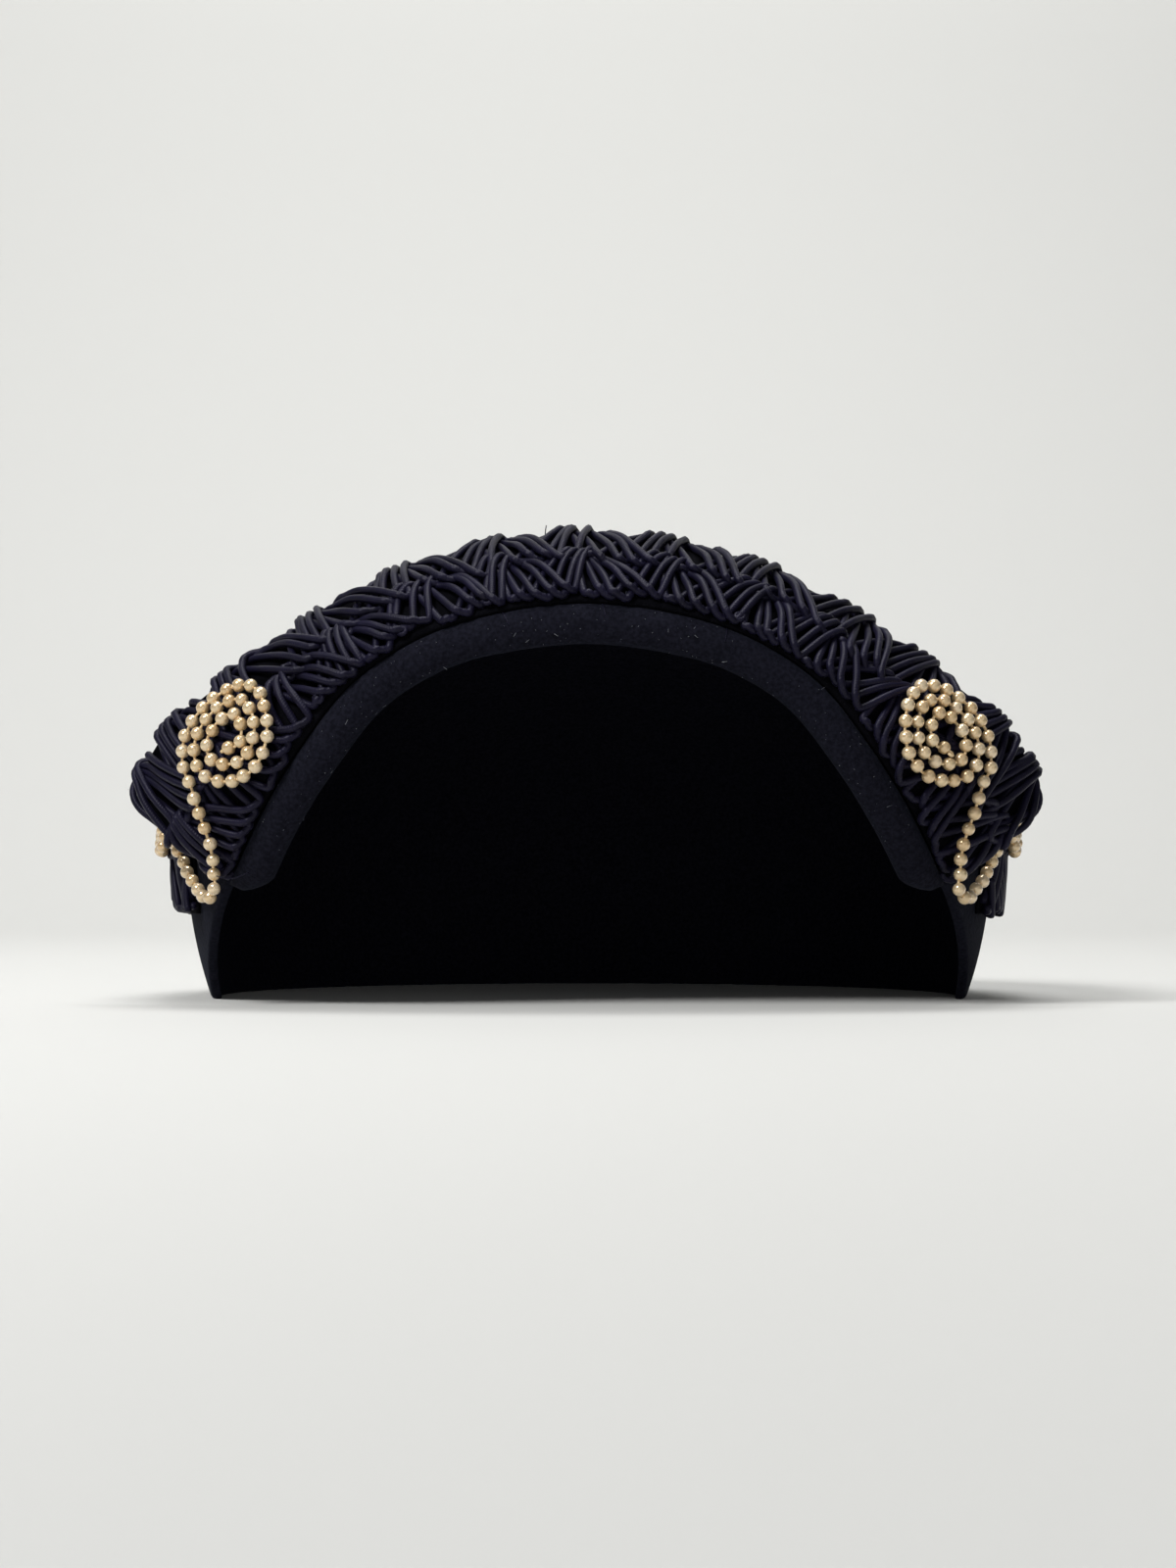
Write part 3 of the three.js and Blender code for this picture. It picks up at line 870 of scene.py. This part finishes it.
def cuff(cord, cloth):
    """The turned-up cuff, with cords that run on round its ends; returns the cords' paths."""
    backing("cuff_backing", on_cuff, start=BACKING_START, end=CUFF_LENGTH - BACKING_START,
            front=CUFF_BACKING_FRONT, back=-CUFF_BACK, material=cloth, node="cuff",
            lip=CUFF_LIP, end_swell=END_SWELL)
    return cording("cuff_cords", on_cuff, CUFF_CORDING, start=-END_WRAP, end=CUFF_LENGTH + END_WRAP,
                   origin=CUFF_LENGTH / 2 + CUFF_PHASE_SHIFT, material=cord, node="cuff")


def side_band(cord, cloth):
    """The corded band round the sides and the back."""
    backing("side_band_backing", on_band, start=0, end=BAND_LENGTH,
            front=BAND_BACKING_FRONT, back=BAND_BACKING_BACK, material=cloth, node="side_band")
    cording("side_band_cords", on_band, BAND_CORDING, start=BAND_CORD_INSET,
            end=BAND_LENGTH - BAND_CORD_INSET, origin=BAND_LENGTH / 2, material=cord, node="side_band")


# Pearl strings

def coil_offsets(coil):
    """A flat, stretched coil as (along, across) offsets from its middle, from the outer end inwards."""
    count = round(COIL_TURNS * COIL_POINTS_PER_TURN)
    axis_turn = math.radians(coil["axis"])
    long_axis = Vector((math.cos(axis_turn), math.sin(axis_turn)))
    offsets = []
    for i in range(count + 1):
        turns = i / COIL_POINTS_PER_TURN
        turn = math.radians(coil["start"]) + coil["direction"] * 2 * math.pi * turns
        radius = COIL_OUTER_RADIUS - COIL_TURN_PITCH * turns
        radius += COIL_UNEVENNESS * math.sin(COIL_LOBES * turn)
        spot = Vector((math.cos(turn), math.sin(turn))) * radius
        spot += long_axis * ((coil["stretch"] - 1) * spot.dot(long_axis))
        offsets.append((spot.x, spot.y))
    return offsets


def cuff_coil():
    """The right string's coil on the cuff, from its outer end inwards."""
    place = section_place(CUFF_COIL["section"])
    step = 0.01
    place_per_millimetre = 2 * step / (cuff_middle(place + step) - cuff_middle(place - step)).length
    breadth = cuff_frame(place)[1].length
    return [cuff_point(place + along * place_per_millimetre, CUFF_COIL["across"] + across / breadth,
                       CUFF_PEARL_LIFT) for along, across in coil_offsets(CUFF_COIL)]


def side_coil():
    """The right string's coil on the side band, from its outer end inwards."""
    spots = []
    for along, across in coil_offsets(SIDE_COIL):
        angle = math.radians(SIDE_COIL["degrees"]) + along / CROWN_HALF_WIDTH
        at = level(SIDE_COIL["height"] + across)
        spots.append(crown_point(angle, at) + crown_normal(angle, at) * (BAND_GAP + BAND_PEARL_LIFT))
    return spots


def pearl_route():
    """The right string's route, from the cuff coil's middle to the side coil's middle."""
    tail = [cuff_point(section_place(section), across, CUFF_PEARL_LIFT) for section, across in TAIL_ON_CUFF]
    return list(reversed(cuff_coil())) + tail + [Vector(spot) for spot in TAIL_IN_AIR] + side_coil()


def even_steps(route, spacing):
    """Points along the smooth curve through the route, evenly spaced."""
    fine = [curve_point(route, i / ROUTE_STEPS) for i in range(ROUTE_STEPS + 1)]
    spots = [fine[0]]
    left = spacing
    for a, b in zip(fine, fine[1:]):
        left -= (b - a).length
        if left <= 0:
            spots.append(b)
            left += spacing
    return spots


def add_pearl(points, faces, centre, axis, radius):
    """Adds a bead with a dimple at each end of its hole."""
    side = axis.orthogonal().normalized()
    up = axis.cross(side)
    first = len(points)
    for r in range(PEARL_RINGS):
        polar = mix(HOLE_ANGLE, math.pi - HOLE_ANGLE, r / (PEARL_RINGS - 1))
        for k in range(PEARL_SIDES):
            turn = 2 * math.pi * k / PEARL_SIDES
            rim = (side * math.cos(turn) + up * math.sin(turn)) * math.sin(polar)
            points.append(centre + (axis * math.cos(polar) + rim) * radius)

    def neighbours(ring, corner):
        return first + ring * PEARL_SIDES + corner, first + ring * PEARL_SIDES + (corner + 1) % PEARL_SIDES

    for r in range(PEARL_RINGS - 1):
        for k in range(PEARL_SIDES):
            a, b = neighbours(r, k)
            faces.append((a, a + PEARL_SIDES, b + PEARL_SIDES, b))
    for r, sign in ((0, 1), (PEARL_RINGS - 1, -1)):
        points.append(centre + axis * (sign * radius * DIMPLE_RADIUS_SHARE))
        for k in range(PEARL_SIDES):
            a, b = neighbours(r, k)
            faces.append((len(points) - 1, a, b) if sign > 0 else (len(points) - 1, b, a))


def thread_curl(first, second):
    """The curled thread end beyond a string's first bead, from its tip inwards."""
    out = (first - second).normalized()
    side = out.cross(THREAD_STEADY).normalized()
    curl = []
    for i in reversed(range(CURL_POINTS)):
        turn = CURL_STEP * i
        reach = CURL_START + CURL_RADIUS * math.sin(turn)
        curl.append(first + out * reach + side * CURL_RADIUS * (1 - math.cos(turn)))
    return curl


def pearl_string(side, pearl, thread):
    """The beads of one string and the thread through them; side is 1 on the right and -1 on the left."""
    label = "right" if side > 0 else "left"
    chance = random.Random(PEARL_SEED + side)
    route = [Vector((side * p.x, p.y, p.z)) for p in pearl_route()]
    spots = even_steps(route, PEARL_SPACING)
    points, faces, tones = [], [], []
    for i, spot in enumerate(spots):
        axis = (spots[min(i + 1, len(spots) - 1)] - spots[max(i - 1, 0)]).normalized()
        nudge = Vector((chance.uniform(-1, 1), chance.uniform(-1, 1), chance.uniform(-1, 1))) * PEARL_NUDGE
        tone = chance.uniform(0, 1)
        before = len(points)
        add_pearl(points, faces, spot + nudge, axis, PEARL_RADIUS * chance.uniform(*PEARL_SIZES))
        tones.extend([tone] * (len(points) - before))
    beads = place_piece(f"pearls_{label}", points, faces, pearl)
    attribute = beads.data.attributes.new("tone", "FLOAT", "POINT")
    attribute.data.foreach_set("value", tones)
    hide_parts(f"pearl_string_{label}")
    points, faces, uv = [], [], []
    run = thread_curl(spots[0], spots[1]) + even_steps(route, THREAD_STEP)
    add_tube(points, faces, uv, [(spot, THREAD_STEADY) for spot in run], THREAD_RADIUS, THREAD_SIDES)
    strand = place_piece(f"pearl_thread_{label}", points, faces, thread, uv=uv)
    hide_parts(f"pearl_string_{label}")


# Loose ends and lint

def tucked_end(distance):
    """A small curl of cord end at the cuff's foot, as (point, normal) pairs."""
    breadth = cuff_frame(place_at(distance))[1].length
    path = []
    for i in range(TUCKED_END_STEPS + 1):
        share = i / TUCKED_END_STEPS
        turn = 2 * math.pi * TUCKED_END_TURNS * share
        reach = mix(*TUCKED_END_REACH, share)
        height = TUCKED_END_SHARE + reach * math.sin(turn) / breadth
        path.append(on_cuff(distance + reach * math.cos(turn), height, mix(*TUCKED_END_LIFT, share)))
    return path


def thread_end(distance, length):
    """A thread end that stands up from the cuff's upper edge."""
    spot, _ = on_cuff(distance, *CUFF_LIP[-1])
    forward = Vector((0, -1, 0))
    return [(spot + Vector((0, 0, length * t)) + THREAD_END_BEND * t * t, forward) for t in THREAD_END_SHARES]


def stitch_over_roll(place):
    """A fine thread that runs down from the cuff's foot over the top of the front roll."""
    sideways = Vector((1, 0, 0.2))
    path = []
    for i in range(1, STITCH_POINTS + 1):
        ring = roll_ring(place + STITCH_SLANT * i, TRIM_RING_SIDES, STITCH_STRETCH)
        path.append((ring[TRIM_RING_SIDES // 2 - i], sideways))
    return path


def tacking_thread():
    """The fine thread that ties the left pearl string to the end of the front roll."""
    section, across = TAIL_ON_CUFF[-1]
    on_right = cuff_point(section_place(section), across, CUFF_PEARL_LIFT + TACK_LIFT)
    string_end = Vector((-on_right.x, on_right.y, on_right.z))
    roll_end = roll_ring(TACK_PLACE, TRIM_RING_SIDES, STITCH_STRETCH)[TACK_CORNER]
    line = [string_end, (string_end + roll_end) / 2 + TACK_SLACK, roll_end]
    forward = Vector((0, -1, 0))
    return [(curve_point(line, i / TACK_STEPS), forward) for i in range(TACK_STEPS + 1)]


def loose_ends(material):
    """Tucked cord ends, thread ends and fine stitches along the cuff."""
    middle = CUFF_LENGTH / 2
    fine_threads = [thread_end(middle + offset, length) for offset, length in THREAD_ENDS]
    fine_threads += [stitch_over_roll(place) for place in STITCH_PLACES]
    fine_threads.append(tacking_thread())
    points, faces, uv = [], [], []
    for offset in TUCKED_ENDS:
        add_tube(points, faces, uv, tucked_end(middle + offset), TUCKED_END_RADIUS, TUCKED_END_SIDES)
    for path in fine_threads:
        add_tube(points, faces, uv, path, FINE_THREAD_RADIUS, FINE_THREAD_SIDES)
    place_piece("loose_ends", points, faces, material, uv=uv)


def lint(material, cords):
    """Tiny pale fibres caught on the front roll and on the cuff's cords."""
    chance = random.Random(LINT_SEED)
    facing = Vector((0, -1, 0.2))
    points, faces, uv = [], [], []
    for i in range(LINT_ON_ROLL + LINT_ON_CORDS):
        if i < LINT_ON_ROLL:
            ring = roll_ring(chance.uniform(*LINT_PLACES), TRIM_RING_SIDES, LINT_STRETCH)
            start = ring[chance.randrange(*LINT_CORNERS)]
        else:
            spot, normal = chance.choice(chance.choice(cords))
            start = spot + normal * CORD_RADIUS
        bend = Vector((chance.uniform(-1, 1), chance.uniform(*LINT_LEANS), chance.uniform(-1, 1)))
        lengths = LINT_SPECK_LENGTHS if chance.random() < LINT_SPECK_SHARE else LINT_FIBRE_LENGTHS
        length = chance.uniform(*lengths)
        path = [(start + bend.normalized() * length * t, facing) for t in (0, 0.5, 1)]
        add_tube(points, faces, uv, path, chance.uniform(*LINT_RADII), LINT_SIDES)
    place_piece("lint", points, faces, material, uv=uv)


# Studio

def studio_floor():
    """A pale floor that sweeps up into a backdrop."""
    profile = [(FLOOR_FRONT, 0.0), (SWEEP_START, 0.0)]
    for i in range(1, SWEEP_STEPS + 1):
        turn = math.pi / 2 * i / SWEEP_STEPS
        profile.append((SWEEP_START + SWEEP_RADIUS * math.sin(turn), SWEEP_RADIUS * (1 - math.cos(turn))))
    profile.append((SWEEP_START + SWEEP_RADIUS, BACKDROP_HEIGHT))
    mesh = bpy.data.meshes.new("studio_floor")
    points = [(x, y, z) for y, z in profile for x in (-FLOOR_HALF_WIDTH, FLOOR_HALF_WIDTH)]
    faces = [(2 * i, 2 * i + 1, 2 * i + 3, 2 * i + 2) for i in range(len(profile) - 1)]
    mesh.from_pydata(points, [], faces)
    mesh.polygons.foreach_set("use_smooth", [True] * len(mesh.polygons))
    material, _, _ = new_material("pale_floor", (0.62, 0.62, 0.60), 0.9)
    mesh.materials.append(material)
    floor = bpy.data.objects.new("studio_floor", mesh)
    bpy.context.scene.collection.objects.link(floor)


def aim(thing, target):
    """Turns a placed light or camera towards a target."""
    direction = Vector(target) - thing.location
    thing.rotation_euler = direction.to_track_quat("-Z", "Y").to_euler()


def soft_light(name, place, size, power, target):
    data = bpy.data.lights.new(name, "AREA")
    data.shape = "DISK"
    data.size = size
    data.energy = power
    lamp = bpy.data.objects.new(name, data)
    lamp.location = place
    aim(lamp, target)
    bpy.context.scene.collection.objects.link(lamp)


def lights():
    """Soft lights round the cap and a faint pale sky."""
    for light in LIGHTS:
        soft_light(*light)
    world = bpy.data.worlds.new("studio")
    world.use_nodes = True
    sky = world.node_tree.nodes["Background"]
    sky.inputs["Color"].default_value = SKY_COLOUR
    sky.inputs["Strength"].default_value = SKY_STRENGTH
    bpy.context.scene.world = world
    bpy.context.scene.view_settings.view_transform = "Standard"


def camera():
    """A long lens at the photo's nearly level view from the front."""
    data = bpy.data.cameras.new("camera")
    data.sensor_width = CAMERA_SENSOR_WIDTH
    data.lens = CAMERA_LENS
    eye = bpy.data.objects.new("camera", data)
    eye.location = CAMERA_PLACE
    aim(eye, CAMERA_TARGET)
    bpy.context.scene.collection.objects.link(eye)
    bpy.context.scene.camera = eye


def main():
    felt = felt_material()
    cord = cord_material()
    cloth = backing_and_painted_shade_material()
    pearl = pearl_material()
    thread = thread_material()
    camera()
    lights()
    studio_floor()
    crown(felt)
    front_rim(felt)
    cuff_cords = cuff(cord, cloth)
    side_band(cord, cloth)
    pearl_string(-1, pearl, thread)
    pearl_string(1, pearl, thread)
    loose_ends(cord)
    lint(lint_material(), cuff_cords)


main()
